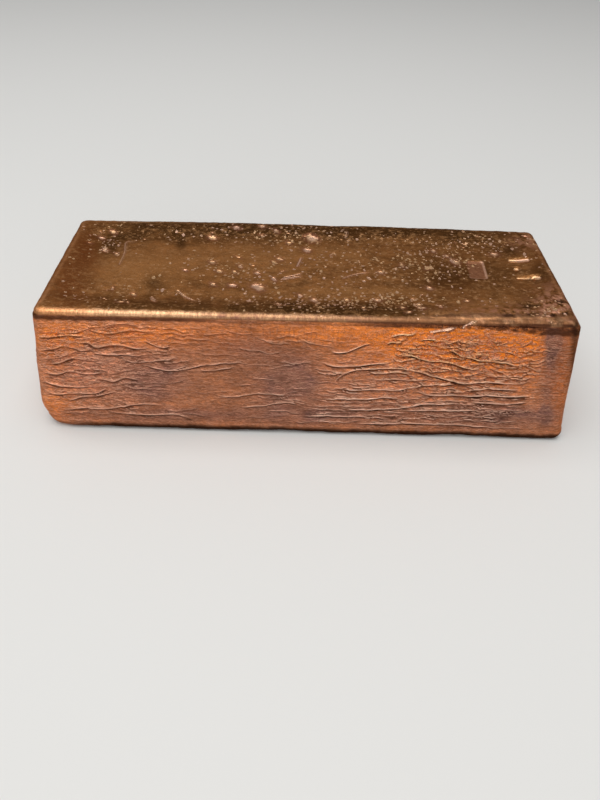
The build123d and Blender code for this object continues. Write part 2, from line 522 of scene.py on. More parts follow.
points, normals, faces, top_members = bare_bar()
seen_x, seen_y = seen_at(points)
total = len(points)
rise = normals[:, 2]
on_upper = np.zeros(total, bool)
on_upper[top_members] = True
on_under = (rise < -0.99) & (points[:, 2] < 0.01)
on_side = ~on_upper & ~on_under
on_wall = np.where(on_under, 0, 1 - smooth(rise, 0.35, 0.85))
in_front = on_side & (normals[:, 1] < -0.5)
members = {
    "front": np.flatnonzero(in_front),
    "back": np.flatnonzero(on_side & (normals[:, 1] > 0.3)),
    "left": np.flatnonzero(on_side & (normals[:, 0] < -0.3)),
    "right": np.flatnonzero(on_side & (normals[:, 0] > 0.3)),
}
relief = np.zeros(total)
broad, mid_size, fine, other = (Noise(seed) for seed in (1, 2, 3, 4))


# Places and lines on the bar
def spots(name):
    """A finish's soft spots, placed in the photograph's frame."""
    return sum(
        strength * np.exp(-((seen_x - x) / half_x) ** 2 - ((seen_y - y) / half_y) ** 2)
        for strength, x, y, half_x, half_y in SPOTS[name])


def ramp(name):
    """How far a finish has set in, from left to right in the photograph's frame."""
    return smooth(seen_x, *RAMPS[name])


def rim_spot(middle, half):
    """A soft stretch of the rim, in the photograph's frame."""
    return bell(seen_x - middle, half)


class Lines:
    """The line that counts most at each point: how far off it lies, in its own widths, and its strength."""

    def __init__(self):
        self.off = np.full(total, OFF_LIMIT)
        self.power = np.zeros(total)
        self.claim = np.zeros(total)

    def draw(self, index, signed, width, strength, lean=0.0):
        """Draws a line that is at its strongest a lean, in widths, to its left."""
        off = signed / width
        away = np.abs(off - lean)
        power = strength * (1 - smooth(away, *LINE_FADE))
        claim = power * np.clip(1 - 0.2 * away, 0, 1)
        stronger = claim > self.claim[index]
        chosen = index[stronger]
        self.off[chosen] = off[stronger]
        self.power[chosen] = power[stronger]
        self.claim[chosen] = claim[stronger]

    def finishes(self, name):
        return {name + "_off": 0.5 + 0.5 * self.off / OFF_LIMIT, name + "_power": self.power}


def rounded_line(corners, step):
    """Points about a step apart on a smooth line through corners."""
    corners = np.asarray(corners, float)
    padded = np.concatenate([2 * corners[:1] - corners[1:2], corners, 2 * corners[-1:] - corners[-2:-1]])
    line = []
    for before, start, end, after in zip(padded, padded[1:], padded[2:], padded[3:]):
        count = max(2, int(np.linalg.norm(end - start) / step))
        t = (np.arange(count) / count)[:, None]
        bend = 2 * before - 5 * start + 4 * end - after
        twist = 3 * start - before - 3 * end + after
        line.append(0.5 * (2 * start + (end - before) * t + bend * t ** 2 + twist * t ** 3))
    return np.concatenate(line + [corners[-1:]])


def near_line(line, places, margin):
    """For places near a line: their indices, distance, side (positive to its left) and share along it."""
    low, high = line.min(0) - margin, line.max(0) + margin
    near = np.flatnonzero(((places >= low) & (places <= high)).all(1))
    here = places[near]
    best, side, share = np.full(len(near), np.inf), np.zeros(len(near)), np.zeros(len(near))
    for i, (start, end) in enumerate(zip(line, line[1:])):
        run = end - start
        t = np.clip(((here - start) @ run) / max(run @ run, 1e-12), 0, 1)
        off = here - start - t[:, None] * run
        away = np.hypot(*off.T)
        closer = away < best
        best[closer] = away[closer]
        side[closer] = np.sign(run[0] * off[closer, 1] - run[1] * off[closer, 0])
        share[closer] = (i + t[closer]) / (len(line) - 1)
    return near, best, side, share


# Folds of the walls
folds, marks = Lines(), Lines()
shuffle = np.random.default_rng(11)
jitter = 0.55 * mid_size(points, (3.0, 3.0, 9)) + 0.18 * fine(points, (1.0, 1.0, 6))
vigour = 0.85 + 0.5 * other(points, (3.5, 3.5, 2.0))
fold_width = np.clip(0.25 + 0.12 * other(points + 60, (4, 4, 4)), 0.15, 0.36)
fold_relief = np.zeros(total)


def wandering_line(low, high, turn, longest):
    """A random, nearly level line that wanders up and down a little."""
    here = shuffle.uniform(low, high)
    heading = shuffle.normal(0, turn)
    line = [here]
    for _ in range(int(shuffle.uniform(0.3, 1.0) * longest / WANDER_STEP) + 1):
        heading = 0.7 * heading + shuffle.normal(0, turn)
        here = here + WANDER_STEP * np.array([math.cos(heading), math.sin(heading)])
        line.append(here)
    return np.array(line)


def fold(index, places, line, height, slim, least=0.4):
    """A thin fold of skin: a narrow crest with soft shoulders, and a sharp crevice under it."""
    near, away, side, share = near_line(line, places, 2.2)
    index = index[near]
    fade = smooth(share, 0, 0.15) * smooth(1 - share, 0, 0.15) * np.clip(vigour[index], least, 1.3)
    fade *= np.maximum(np.abs(normals[index, :2]).max(1) * 6 - 5, 0)
    signed = away * side
    shape = sum(part * bell(away, half) for part, half in (FOLD_CREST, FOLD_SHOULDER))
    shape -= FOLD_CREVICE[0] * bell(signed + CREVICE_BELOW, FOLD_CREVICE[1])
    fold_relief[index] += height * fade * shape
    folds.draw(index, signed, slim * fold_width[index], fade * min(1.0, slim * height / FULL_FOLD), -0.7)


def face_places(name, shaken):
    """A wall's members as places along and up it, shaken a little so that lines on it aren't smooth."""
    index = members[name]
    along = 0 if name in ("front", "back") else 1
    return np.column_stack([points[index, along], points[index, 2] + shaken * jitter[index]])


calm_places, front_places = face_places("front", 0.45), face_places("front", 1.0)
for height, seen in FRONT_FOLDS:
    fold(members["front"], calm_places, rounded_line(on_front(seen), 0.8), height, 1.05, 0.7)
for count, low, high, turn, longest, heights, slim in FOLD_FIELDS:
    for _ in range(count):
        line = wandering_line(low, high, turn, longest)
        fold(members["front"], front_places, line, shuffle.uniform(*heights), slim)
for name, count in HIDDEN_FOLDS.items():
    reach = BASE_HALF[0 if name == "back" else 1]
    places = face_places(name, 0.7)
    for _ in range(count):
        line = wandering_line((-reach, 4), (reach - 6, 32), 0.10, 22)
        fold(members[name], places, line, shuffle.uniform(0.06, 0.26), 0.9)
relief += FOLD_LIMIT * np.tanh(fold_relief / FOLD_LIMIT)

# Skin of the walls: level ripples, lumps and grain
warp = np.zeros((total, 3))
warp[:, 2] = 1.4 * broad(points, (12, 12, 6)) + 0.5 * fine(points, (4, 4, 2.4))
bent = points + warp
ripple = (1 - np.abs(mid_size(bent, (9, 9, 2.0)))) ** 6
fine_ripple = (1 - np.abs(fine(bent, (4.5, 4.5, 1.1)))) ** 4
patches = smooth(other(points + 45, (24, 24, 14)), -0.2, 0.5)
wrinkled = np.where(in_front, 0.3 + spots("creased"), 0.15 + 0.75 * patches)
lumps = broad(points + 30, (18, 18, 10))
grain = fine(points, (0.95, 0.95, 0.75))
skin = (RIPPLE_HEIGHT * ripple + FINE_RIPPLE_HEIGHT * fine_ripple) * wrinkled
skin = skin + GRAIN_HEIGHT * grain + LUMP_HEIGHT * lumps - SKIN_SUNK
relief += on_wall * skin

# The foot's edge is sharper than its mould's, uneven, and worn rounder at its front left corner
foot_middle = (DRAFT - math.pi / 2) / 2
foot_half = (DRAFT + math.pi / 2) / 2
round_turn = np.clip(np.arcsin(np.clip(rise, -1, 1)) - foot_middle, -foot_half, foot_half)
relief += FOOT_GAIN * (np.cos(round_turn) / math.cos(foot_half) - 1) * ~on_under
foot = smooth(FOOT_TOP - points[:, 2], 0, 3.5) * ~on_under
foot_wave = 0.16 + 0.25 * broad(points + 40, (9, 9, 30)) + 0.12 * mid_size(points + 70, (3.5, 3.5, 30))
relief -= foot * foot_wave
worn_corner = np.exp(-(((points - WORN_CORNER_AT) / WORN_CORNER_SIZE) ** 2).sum(1))

# The upper face: an uneven rim around a dish, with a shallow groove under the rim
plan = points[:, :2]
edge = inside_by(plan, EDGE_HALF + np.array([0, 0.4]), EDGE_CORNER) - ROLL_WIDTH
dish_edge = inside_by(plan, EDGE_HALF, DISH_ROUND) - ROLL_WIDTH
near_rim = np.where(on_upper, 1 - smooth(edge, 1.0, 4.0), smooth(rise, 0.1, 0.6))
near_rim[on_under] = 0
rim_wave = 0.13 * (1 + broad(points + 15, (11, 11, 11))) + 0.07 * mid_size(points, (2.4, 2.4, 2.4))
rim_wave += 0.05 * fine(points, (0.9, 2.5, 2.5))
rolling = 0.1 + 0.1 * broad(points, (17, 12, 9)) + 0.05 * mid_size(points + 9, (5, 4, 4))
rolling += 0.03 * fine(points, (1.5, 1.5, 1.5))
relief -= near_rim * rim_wave
relief -= np.where(on_upper, DISH_DEPTH * smooth(dish_edge, RIM_CREST, RIM_CREST + DISH_SLOPE), 0)
relief -= np.where(on_upper, (1 - near_rim) * rolling, 0)
relief -= GROOVE_DEPTH * bell(rise - 0.42, 0.16) * on_side

# The front rim is rounder and lumpier towards the right, with small cavities
right_rim = smooth(points[:, 0], 12, 55) * smooth(-points[:, 1], 14, 20)
slump = np.where(on_upper, 1 - smooth(edge, -0.8, 3.2), smooth(rise, 0.08, 0.6)) * right_rim * ~on_under
relief -= slump * (0.5 + 0.3 * mid_size(points + 5, (7, 4, 4)) + 0.08 * fine(points, (2.2, 2.2, 2.2)))
cavities = np.clip(spots("cavities") * (1 + 0.8 * fine(points, (1.8, 1.8, 1.8))), 0, 1) * on_upper
relief -= CAVITY_DEPTH * cavities

# Pits, scratches, scrapes and plain strokes
scatter = np.random.default_rng(23)
top_plan = plan[top_members]
pit_edge = 1 + 0.45 * fine(points[top_members] + 80, (0.8, 0.8, 0.8))
thickness = np.array([cluster[0] for cluster in PIT_CLUSTERS])
for pick in scatter.choice(len(PIT_CLUSTERS), BIG_PITS, p=thickness / thickness.sum()):
    centre = on_top(scatter.normal(PIT_CLUSTERS[pick][1:3], np.array(PIT_CLUSTERS[pick][3:]) * 0.8))[0]
    radius = 0.16 + 0.26 * scatter.random() ** 3
    angle, stretch = scatter.normal(-0.5, 0.6), scatter.uniform(1.2, 2.8)
    if inside_by(centre[None], EDGE_HALF, EDGE_CORNER)[0] < ROLL_WIDTH + 1.0:
        continue
    near = np.flatnonzero((np.abs(top_plan - centre) < 2.4).all(1))
    off = top_plan[near] - centre
    long_way = off @ (math.cos(angle), math.sin(angle)) / stretch
    away = np.hypot(long_way, off @ (-math.sin(angle), math.cos(angle))) / radius
    away *= pit_edge[near]
    relief[top_members[near]] -= 0.6 * radius * bell(away, 1.5)
    marks.draw(top_members[near], away, 1.0, np.full(len(near), scatter.uniform(0.5, 1.0)))
for x, y, half_x, half_y in CLEAR_PITS:
    off_x, off_y = seen_x[top_members] - x, seen_y[top_members] - y
    away = np.hypot((off_x - 0.6 * off_y) / half_x, off_y / half_y) * pit_edge / PIT_CORE
    near = np.flatnonzero(away < OFF_LIMIT)
    relief[top_members[near]] -= 0.06 * half_x * bell(away[near], 1.6)
    marks.draw(top_members[near], away[near], 1.0, np.ones(len(near)))
for depth, width, shine, seen in TOP_SCRATCHES:
    near, away, side, share = near_line(rounded_line(on_top(seen), 0.4), top_plan, 1.6)
    relief[top_members[near]] -= depth * bell(away, width)
    marks.draw(top_members[near], away * side, 0.8 * width, shine * smooth(1 - share, -0.1, 0.3))
in_view = np.flatnonzero(on_upper | in_front)
seen_places = np.column_stack([seen_x, seen_y])[in_view]
for width, seen in FRONT_SCRAPES:
    near, away, _, share = near_line(rounded_line(seen, 1.0), seen_places, 5)
    marks.draw(in_view[near], away, width, smooth(1 - share, -0.1, 0.3))
stroke_off = np.full(total, 9.0)
for half, *ends in PLAIN_STROKES:
    near, away, _, _ = near_line(np.array(ends), top_plan, 2.0)
    relief[top_members[near]] -= STROKE_DEPTH * smooth(half - away, -0.45, 0.25)
    stroke_off[top_members[near]] = np.minimum(stroke_off[top_members[near]], away - half)

# The blank punch
turn_cos, turn_sin = math.cos(PUNCH_TURN), math.sin(PUNCH_TURN)
off = (plan - PUNCH_CENTRE) @ np.array([[turn_cos, -turn_sin], [turn_sin, turn_cos]])
outside = (np.abs(off) - np.array(PUNCH_SIZE) / 2).max(1)
punched = smooth(-outside, -0.15, 0.4) * on_upper
# The punch's right and front edges, which get a painted highlight
punch_lit = np.maximum(smooth(off[:, 0], 1.2, 2.0), smooth(-off[:, 1], 3.4, 4.2))
relief -= PUNCH_SHARE * PUNCH_DEPTH * punched

# The face that it lies on is slightly hollow
relief[on_under] -= (smooth(edge + 4, 0, 12) * (0.25 + 0.2 * broad(points, (22, 22, 9))))[on_under]

level = points[:, 2] / (1 - LEFT_DROP / HEIGHT * 0.5 * (1 - plan[:, 0] / TOP_HALF[0]).clip(0, 2))
points = points + normals * relief[:, None] + worn_corner[:, None] * WORN_CORNER_SHIFT
low, high = (np.array(v) * 1000 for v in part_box("ingot"))
points = np.clip(points, low, high)

# Where each finish shows on the walls
blotch = 0.5 + 0.5 * other(points, (17, 17, 11))
tint = spots("tint") * (1 + 0.6 * mid_size(points + 25, (7, 7, 4)))
tint = np.where(in_front, tint, 0.9 * smooth(blotch, 0.5, 1.0))
glow = np.where(in_front, spots("glow"), 0.75 * smooth(1 - blotch, 0.4, 1.0))
# Duller brown patches; those at the front's right end are painted shade
dull_and_shade, blush, streaked = (np.where(in_front, spots(name), 0.3) for name in ("dull_and_shade", "blush", "streaked"))
russet = np.where(in_front, spots("russet"), 0)
# How strongly the folds' painted highlights and crevice shade show, stronger towards the right of the front
lit = np.where(in_front, 0.45 + 0.55 * ramp("lit"), 0.6)

# Where each finish shows on the rim
ragged = 0.5 * mid_size(points, (3, 3, 3)) + 0.35 * fine(points, (1.1, 1.1, 1.1))
front_rim = smooth(-points[:, 1], 18, 22)
bare_to = 0.05 + 2.6 * ramp("bare_and_highlit")
bare_and_highlit = np.where(on_upper, 1 - smooth(edge - bare_to + 0.6 * ragged, -0.35, 0.35), smooth(rise, 0.4, 0.6))
scuffed = smooth(fine(points + 33, (1.7, 1.7, 1.2)) + 0.6 * mid_size(points + 12, (5, 5, 2)), -0.15, 0.45)
far_right = ramp("far_right")
# Rubbed bright metal with a painted highlight, strongest at the left of the front rim
wear_and_highlight = (0.15 + 0.8 * (1 - ramp("wear_and_highlight"))) * (0.75 + 0.25 * smooth(rise, 0.62, 0.95))
wear_and_highlight = wear_and_highlight * (1 - 0.45 * rim_spot(*DULL_RIM)) + 0.25 * scuffed * far_right
chewed = ramp("chewed") * (1 - ramp("chewed_end")) * (0.5 + 0.5 * smooth(0.95 - rise, 0, 0.3))
chewed *= 0.7 + 0.6 * rim_spot(*CHEWED_RIM)
on_right = ramp("right_rim")
# A painted highlight line along the rim's crest at the right of the front rim, and a weaker one along the
# rims of the ends
crest_at = 0.3 + 1.0 * ramp("crest_highlight") + 0.25 * ragged
crest_highlight = bell(edge - crest_at, 0.34) * on_right * front_rim
crest_highlight += 0.5 * bell(edge + 0.1, 0.5) * smooth(np.abs(points[:, 0]), 60, 64) * (1 - front_rim)
crest_highlight = np.where(on_upper, crest_highlight, 0)
shelf = smooth(edge - crest_at, -0.2, 0.4) * (1 - smooth(edge + 1.5 * ragged, 2.0, 7.0)) * on_upper * on_right
shelf *= smooth(-points[:, 1], 12, 18)
rim_kept = np.maximum(np.maximum(front_rim, spots("corner_rim")), 0.15 * smooth(ragged, 0.1, 0.5))
rubbed_and_highlit = np.where(on_under, 0, bare_and_highlit * rim_kept)
patina = np.where(on_upper, 1, np.where(on_under, 0, smooth(rise, 0.3, 0.55)))
# Painted shade in a band on the wall just under the rim, strongest along the front
lip_to = HEIGHT - 2.05 - 1.3 * ramp("low_lip") - 0.45 * (1 - ramp("left_lip"))
lip_to += (0.35 + 0.35 * far_right) * ragged
lip_from = 34.8 + 0.35 * ramp("thin_lip") + 0.5 * ramp("high_lip")
under_rim_shade = smooth(level, lip_to - 0.25, lip_to + 0.15) * (1 - smooth(level, lip_from - 0.15, lip_from + 0.2))
under_rim_shade *= ~on_under * (0.35 + 0.65 * front_rim) * (1 - 0.45 * ramp("faint_lip") * (1 - ramp("faint_lip_end")))
under_rim_shade *= 1 - 0.5 * scuffed * far_right

# Where each finish shows at the foot and on the upper face
# Painted shade along the foot, fading out at the front's left end and weaker on the other walls, painted
# shade in the rim's cavities, and dark pocks on the front
shade_and_pocks = np.where(on_upper, 0, 1 - smooth(level + 0.5 * ragged, 1.7, 2.9))
shade_and_pocks *= np.where(in_front, ramp("shade_and_pocks"), 0.5)
shade_and_pocks = np.maximum(shade_and_pocks, np.where(in_front, spots("pocks"), 0.9 * cavities))
# A painted dark reflection in a band inside the front rim, and painted shade in a band along the back
front_dark_reflection = (1 - smooth(points[:, 1] + EDGE_HALF[1] + 3 * ragged, 4, 10)) * ramp("front_dark_reflection")
front_dark_reflection *= (1 - ramp("front_dark_reflection_end")) * (0.65 + 0.35 * ramp("front_dark_reflection_full"))
x, y, slope, half = BACK_SHADE_BAND
back_shade_band = bell(seen_y - y - slope * (seen_x - x), half) * ramp("back_shade_band") * (1 - ramp("back_shade_band_end"))
# Painted shade on the upper face: both bands, the rim's cavities, and patches that are partly painted shade
# and partly dark smudges
shade_and_smudges = 1.1 * front_dark_reflection + 0.95 * back_shade_band + 1.3 * cavities + spots("shade_and_smudges")
side_edge = 0.6 * (1 - smooth(edge, 0, 5)) * (1 - front_rim) * (1 - smooth(plan[:, 1], 14, 20))
ruddy = np.where(on_upper, np.maximum(spots("ruddy"), side_edge), 0.7)
FINISHES = {
    "patina": patina, "rubbed_and_highlit": rubbed_and_highlit, "wear_and_highlight": wear_and_highlight, "under_rim_shade": under_rim_shade, "tint": tint, "glow": glow, "lit": lit,
    "streaked": streaked, "dull_and_shade": dull_and_shade, "blush": blush, "amber": 1 - ramp("amber"), "russet": russet,
    "wrinkled": wrinkled, "pitting": (0.02 + spots("pitting")) * on_upper, "shade_and_smudges": shade_and_smudges, "ruddy": ruddy,
    "tan_and_sheen": spots("tan_and_sheen"), "mottled": spots("mottled"), "punch_lit": punch_lit, "shade_and_pocks": shade_and_pocks,
    "punch": 0.5 - 0.5 * np.where(on_upper, outside, 9), "stroke": 0.5 - 0.5 * stroke_off,
    "chewed": chewed, "crest_highlight": crest_highlight, "shelf": shelf, **folds.finishes("fold"), **marks.finishes("mark"),
}


def cast_bar():
    """The bar as one mesh, with its finishes as values on its points."""
    mesh = bpy.data.meshes.new("ingot_cast")
    mesh.from_pydata((points / 1000).tolist(), [], [[int(i) for i in face] for face in faces])
    for name, values in FINISHES.items():
        layer = mesh.attributes.new(name, "FLOAT", "POINT")
        layer.data.foreach_set("value", np.clip(values, 0, 1).astype(np.float32))
    mesh.polygons.foreach_set("use_smooth", np.ones(len(mesh.polygons), bool))
    mesh.update()
    bar = bpy.data.objects.new("ingot_cast", mesh)
    bpy.context.scene.collection.objects.link(bar)
    return bar


# Colours of the walls, as linear red, green and blue
WALL_DARK, WALL_LIGHT = (0.445, 0.178, 0.089), (0.6, 0.22, 0.093)
# Dull brown, also painted shade at the front's right end
DULL_BROWN = (0.308, 0.118, 0.057)
BLUSH_PINK = (0.78, 0.33, 0.2)
GLOW_ORANGE = (1.0, 0.265, 0.03)
RUSSET = (0.38, 0.11, 0.04)
VIOLET = (0.222, 0.103, 0.081)
STREAK_BROWN = (0.30, 0.10, 0.045)
# Painted highlights on the folds' crests and upper shoulders, and painted shade under them and in their
# crevices
LINE_HIGHLIGHT, LINE_SHADE = (0.97, 0.50, 0.33), (0.08, 0.028, 0.018)
SHOULDER_HIGHLIGHT = (0.9, 0.44, 0.27)
CREVICE_SHADE, CREVICE_DEEP_SHADE = (0.16, 0.055, 0.03), (0.05, 0.018, 0.012)
CREST_HIGHLIGHT_PINK, CREST_HIGHLIGHT_GOLD = (1.0, 0.66, 0.5), (1.0, 0.6, 0.32)
# Colours of the upper face
OXIDE_DARK, OXIDE_LIGHT = (0.34, 0.14, 0.045), (0.45, 0.19, 0.062)
# Tan, also used as a painted sheen
TAN = (0.58, 0.26, 0.088)
RUDDY_BROWN = (0.26, 0.082, 0.024)
# Nearly black, for painted shade and dark smudges
NEAR_BLACK = (0.095, 0.04, 0.013)
SHELF_TAN = (0.64, 0.28, 0.105)
DUST_TAN = (0.64, 0.32, 0.13)
GRIT_GOLD = (0.75, 0.4, 0.19)
MARK_BROWN = (0.42, 0.17, 0.10)
SPECK_BROWN = (0.12, 0.048, 0.016)
MOTTLE_PINK, MOTTLE_BLACK = (0.78, 0.37, 0.23), (0.05, 0.019, 0.009)
PUNCH_PALE, PUNCH_DARK = (0.54, 0.24, 0.13), (0.36, 0.155, 0.082)
# Painted highlight on the punch's lit edges
BRINK_HIGHLIGHT = (0.85, 0.50, 0.34)
# Colours of the rim with its painted highlight, of painted shade under the rim and at the foot, and of the
# bright metal in pits, lightened as a painted glint
GOLD, AMBER = (0.93, 0.55, 0.3), (0.95, 0.44, 0.19)
RIM_BROWN = (0.15, 0.053, 0.018)
CHEWED_BROWN = (0.25, 0.105, 0.07)
RUST, RUST_BLACK = (0.62, 0.28, 0.16), (0.07, 0.026, 0.012)
CREST_HIGHLIGHT_TONE = (0.76, 0.36, 0.16)
UNDER_RIM_SHADE_BROWN = (0.07, 0.024, 0.012)
SHADE_BLACK = (0.025, 0.01, 0.006)
PIT_GOLD, PIT_PINK = (1.0, 0.62, 0.33), (1.0, 0.62, 0.44)
GRAZING_TINT = (0.85, 0.62, 0.5, 1)


# Materials
class Shader:
    """Short calls for building a material's nodes."""

    def __init__(self, name):
        self.material = bpy.data.materials.new(name)
        self.material.use_nodes = True
        self.tree = self.material.node_tree
        self.main = self.tree.nodes["Principled BSDF"]

    def fill(self, node, inputs):
        """Sets a node's inputs, given by name or place, to values or to other nodes' outputs."""
        for key, value in inputs.items():
            if hasattr(value, "is_output"):
                self.tree.links.new(value, node.inputs[key])
            else:
                node.inputs[key].default_value = value
        return node

    def node(self, kind, inputs, **settings):
        node = self.tree.nodes.new("ShaderNode" + kind)
        for name, value in settings.items():
            setattr(node, name, value)
        return self.fill(node, inputs)

    def attribute(self, name):
        return self.node("Attribute", {}, attribute_name=name).outputs["Fac"]

    def math(self, operation, first, second=0.5):
        return self.node("Math", {0: first, 1: second}, operation=operation).outputs[0]

    def mix(self, share, first, second):
        first, second = (v if hasattr(v, "is_output") else (*v, 1) for v in (first, second))
        inputs = {"Factor": share, "A": first, "B": second}
        return self.node("Mix", inputs, data_type="RGBA").outputs["Result"]

    def shade(self, colour, light):
        """A colour made lighter or darker as a whole."""
        scaled = self.node("VectorMath", {0: colour, "Scale": light}, operation="SCALE").outputs[0]
        return self.node("VectorMath", {0: scaled, 1: (1, 1, 1)}, operation="MINIMUM").outputs[0]

    def places(self, period, turn=0.0, shift=(0, 0, 0)):
        """Object coordinates in millimetres, moved, turned about Z and divided by a period each way."""
        return self.node("Mapping", {
            "Vector": self.node("TexCoord", {}).outputs["Object"],
            "Location": [v / p for v, p in zip(shift, period)],
            "Rotation": (0, 0, turn),
            "Scale": [1000 / v for v in period],
        }).outputs["Vector"]

    def noise(self, period, detail=3.0, roughness=0.55, distortion=0.0, shift=(0, 0, 0)):
        return self.node("TexNoise", {
            "Vector": self.places(period, shift=shift), "Scale": 1.0, "Detail": detail,
            "Roughness": roughness, "Distortion": distortion,
        }).outputs["Fac"]

    def cells(self, period, turn):
        """Distance in periods from random spots on a level plane, and two random values of the nearest."""
        where = self.places(period, turn)
        wander = self.node("TexNoise", {"Vector": where, "Scale": 1.7}).outputs["Color"]
        wander = self.node("VectorMath", {0: wander, "Scale": 0.5}, operation="SCALE").outputs[0]
        moved = self.node("VectorMath", {0: where, 1: wander}, operation="ADD").outputs[0]
        node = self.node("TexVoronoi", {"Vector": moved, "Scale": 1.0}, voronoi_dimensions="2D")
        split = self.node("SeparateColor", {"Color": node.outputs["Color"]})
        return node.outputs["Distance"], split.outputs["Red"], split.outputs["Green"]

    def span(self, value, low, high, to_low=0.0, to_high=1.0):
        """A value's smooth step from low to high, as a step from to_low to to_high."""
        return self.node("MapRange", {
            "Value": value, "From Min": low, "From Max": high, "To Min": to_low, "To Max": to_high,
        }, interpolation_type="SMOOTHSTEP").outputs["Result"]

    def bump(self, height, strength, distance, normal=None):
        inputs = {"Height": height, "Strength": strength, "Distance": distance}
        if normal is not None:
            inputs["Normal"] = normal
        return self.node("Bump", inputs).outputs["Normal"]


class CastCopper(Shader):
    """As-cast copper: orange and violet walls, a brown oxide face with bright pits, and a rubbed rim, all
    with painted highlights and shade.
    """

    def __init__(self):
        super().__init__("cast_copper")
        self.speckle = self.noise((0.85, 0.85, 0.65), 5, 0.75)
        self.cloud = self.noise((9, 9, 6), 4)

    def times(self, first, second):
        return self.math("MULTIPLY", first, second)

    def over(self, colour, finish, amount, tone):
        """A tone laid over a colour by an amount, where a finish shows."""
        return self.mix(self.times(self.attribute(finish), amount), colour, tone)

    def off_line(self, name):
        """How far off the nearest line of a kind a place lies, in the line's widths."""
        return self.times(self.math("SUBTRACT", self.attribute(name + "_off")), 2 * OFF_LIMIT)

    def along_line(self, name, at, half):
        """A band beside the nearest line of a kind, as strong as the line is there."""
        away = self.math("ABSOLUTE", self.math("SUBTRACT", self.off_line(name), at))
        return self.times(self.span(away, 0.4 * half, half, 1.0, 0.0), self.attribute(name + "_power"))

    def line_field(self, period, width, shift=(0, 0, 0)):
        """Thin level lines that wander."""
        off = self.math("ABSOLUTE", self.math("SUBTRACT", self.noise(period, 3, 0.6, 0.5, shift)))
        return self.times(self.span(off, 0.0, width, 1.0, 0.0), self.attribute("wrinkled"))

    def pits(self, period, turn, share):
        """Small pits of several sizes, thick where the pitting is."""
        away, chance, size = self.cells(period, turn)
        shape = self.span(self.math("SUBTRACT", away, self.times(size, 0.2)), 0.06, 0.12, 1.0, 0.0)
        present = self.math("LESS_THAN", chance, self.times(self.attribute("pitting"), share))
        return self.times(self.times(shape, present), self.span(size, 0.0, 0.7, 0.75, 1.0))

    def wall_colour(self, lines, shade_lines):
        """Orange metal, duller or violet where heat tinted it, with painted shade at its right end, and
        painted highlights on fold crests over painted shade in their crevices.
        """
        s = self
        colour = s.mix(s.span(s.cloud, 0.35, 0.65), WALL_DARK, WALL_LIGHT)
        colour = s.over(colour, "dull_and_shade", 0.85, DULL_BROWN)
        colour = s.over(colour, "blush", s.span(s.cloud, 0.3, 0.6, 0.4, 0.8), BLUSH_PINK)
        colour = s.over(colour, "glow", s.span(s.cloud, 0.25, 0.55, 0.75, 1.0), GLOW_ORANGE)
        colour = s.over(colour, "russet", 0.75, RUSSET)
        colour = s.over(colour, "tint", s.span(s.cloud, 0.3, 0.6, 0.6, 1.0), VIOLET)
        streak = s.times(s.attribute("streaked"), s.span(s.noise((0.6, 0.6, 6), 3, 0.6), 0.45, 0.65))
        colour = s.mix(s.times(streak, 0.5), colour, STREAK_BROWN)
        calm = s.span(s.attribute("glow"), 0.3, 1.0, 1.0, 0.65)
        mottling = s.times(s.span(s.speckle, 0.36, 0.64, 0.2, -0.2), calm)
        light = s.span(s.noise((5, 5, 3), 3, 0.6, shift=(2, 8, 5)), 0.35, 0.65, 0.86, 1.16)
        light = s.times(light, s.math("ADD", mottling, 1.0))
        grain = s.span(s.noise((2.6, 2.6, 0.55), 4, 0.65), 0.32, 0.68, 0.3, -0.3)
        grain = s.times(grain, s.span(s.attribute("wrinkled"), 0.1, 0.8, 0.45, 1.0))
        light = s.times(light, s.math("ADD", grain, 1.0))
        light = s.times(light, s.span(s.attribute("glow"), 0.4, 1.0, 1.0, 1.25))
        light = s.math("MINIMUM", light, s.span(s.attribute("glow"), 0.3, 0.9, 1.6, 1.0))
        colour = s.shade(colour, light)
        # Painted shade under the thin lines, painted highlights on them and on the folds' upper shoulders,
        # and painted shade in the folds' crevices
        colour = s.mix(s.times(shade_lines, 0.8), colour, LINE_SHADE)
        colour = s.mix(s.times(lines, 0.75), colour, LINE_HIGHLIGHT)
        colour = s.mix(s.times(s.along_line("fold", 1.0, 1.5), 0.35), colour, SHOULDER_HIGHLIGHT)
        colour = s.mix(s.times(s.along_line("fold", -1.9, 2.0), 0.45), colour, CREVICE_SHADE)
        depth = s.span(s.attribute("lit"), 0.45, 1.0, 0.75, 1.0)
        colour = s.mix(s.times(s.along_line("fold", -1.5, 1.0), depth), colour, CREVICE_DEEP_SHADE)
        # Painted highlight along the fold crests
        crest_highlight = s.mix(s.attribute("glow"), CREST_HIGHLIGHT_PINK, CREST_HIGHLIGHT_GOLD)
        return s.mix(s.times(s.along_line("fold", 0.1, 0.8), s.attribute("lit")), colour, crest_highlight)

    def upper_colour(self):
        """Brown oxide, ruddy in places, tan in others partly as painted sheen, and nearly black with painted
        shade and smudges.
        """
        s = self
        colour = s.mix(s.span(s.noise((8, 5, 5), 4), 0.35, 0.65), OXIDE_DARK, OXIDE_LIGHT)
        colour = s.shade(colour, s.span(s.noise((3.2, 2.6, 2.6), 4, 0.65), 0.3, 0.7, 0.7, 1.28))
        # Tan patches, partly a painted sheen
        colour = s.over(colour, "tan_and_sheen", 0.8, TAN)
        colour = s.mix(s.attribute("ruddy"), colour, RUDDY_BROWN)
